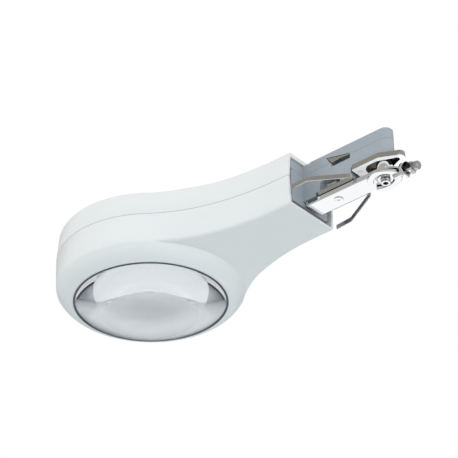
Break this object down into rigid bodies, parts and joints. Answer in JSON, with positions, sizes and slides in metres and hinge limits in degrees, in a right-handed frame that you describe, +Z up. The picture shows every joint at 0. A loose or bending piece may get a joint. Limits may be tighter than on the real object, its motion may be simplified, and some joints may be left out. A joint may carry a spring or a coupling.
{
  "type": "magnifying lamp head",
  "caption": "Round magnifying lamp head: two-shell white housing with a large lens, ring light inside, neck, and steel tilt-and-swivel bracket for an arm.",
  "frame": {"origin": "centre of the cylindrical plug on the tilt knuckle, where the head fastens to a lamp arm", "axes": "+X from the lens along the neck towards the arm, +Z up, away from the lens's working side; at rest the plug slopes 8 degrees down from +X"},
  "size_m": [0.335, 0.15, 0.0716],
  "materials": {
    "housing_white": "fine satin moulded",
    "insert_grey": "satin moulded",
    "lens_glass": "polished optical glass",
    "gasket_dark": "matt",
    "ring_black": "matt",
    "sleeve_white": "semi-gloss",
    "bezel_white": "satin",
    "diffuser_opal": "opal",
    "board_white": "solder mask",
    "board_green": "solder mask",
    "component_black": "moulded",
    "led_phosphor": "phosphor",
    "steel_polished": "polished nickel plate",
    "jaw_nickel": "satin nickel plate",
    "steel_brushed": "rolled",
    "steel_zinc": "zinc plated",
    "spring_steel": "rolled strip",
    "steel_black": "black oxide"
  },
  "bodies": {
    "head": {"upper_shell": "housing_white", "lower_shell": "housing_white", "shell_screws": "steel_zinc", "lens": "lens_glass", "lens_gasket": "gasket_dark", "lens_clamp_ring": "ring_black", "light_sleeve": "sleeve_white", "diffuser": "diffuser_opal", "led_board": "board_white", "leds": "led_phosphor", "view_bezel": "bezel_white", "driver_board": "board_green", "driver_components": "component_black", "board_screws": "steel_zinc", "insert_lower": "insert_grey", "insert_upper": "insert_grey", "insert_screws": "steel_zinc", "window_tab": "spring_steel", "spine_plate": "steel_brushed", "channel_plate": "steel_polished", "bracket_bar": "steel_brushed", "bracket_rivets": "steel_polished", "upper_jaw": "jaw_nickel", "jaw_rivets": "steel_polished", "adjusting_screw": "steel_zinc", "near_spring_base": "spring_steel", "far_spring_base": "spring_steel"},
    "near_spring": {"near_spring_leg": "spring_steel"},
    "far_spring": {"far_spring_leg": "spring_steel"},
    "swivel": {"swivel_yoke": "steel_polished", "swivel_post": "steel_polished", "swivel_washer": "steel_brushed", "rod_nut": "steel_polished"},
    "tension_screw": {"pivot_screw": "steel_black"},
    "arm": {"arm_clevis": "steel_brushed", "pivot_nut": "steel_zinc"}
  },
  "joints": [
    {"name": "head_tilt", "type": "hinge", "parent": "arm", "child": "swivel", "pos_m": [-0.00654, 0, 0.00092], "axis": [0, 1, 0], "range_deg": [-62, 15]},
    {"name": "head_swivel", "type": "hinge", "parent": "swivel", "child": "head", "pos_m": [-0.02774, 0, 0.00177], "axis": [0, 0, 1], "range_deg": [-110, 110]},
    {"name": "tension_screw_turn", "type": "hinge", "parent": "arm", "child": "tension_screw", "pos_m": [-0.00654, -0.0044, 0.00092], "axis": [0, 1, 0], "range_deg": [-180, 180]},
    {"name": "near_spring_flex", "type": "hinge", "parent": "head", "child": "near_spring", "pos_m": [-0.05234, -0.01092, 0.00782], "axis": [0, 0, 1], "range_deg": [-13, 0], "stiffness_Nm_per_rad": 0.06},
    {"name": "far_spring_flex", "type": "hinge", "parent": "head", "child": "far_spring", "pos_m": [-0.05234, 0.01092, 0.00402], "axis": [0, 0, 1], "range_deg": [0, 6], "stiffness_Nm_per_rad": 0.06}
  ]
}
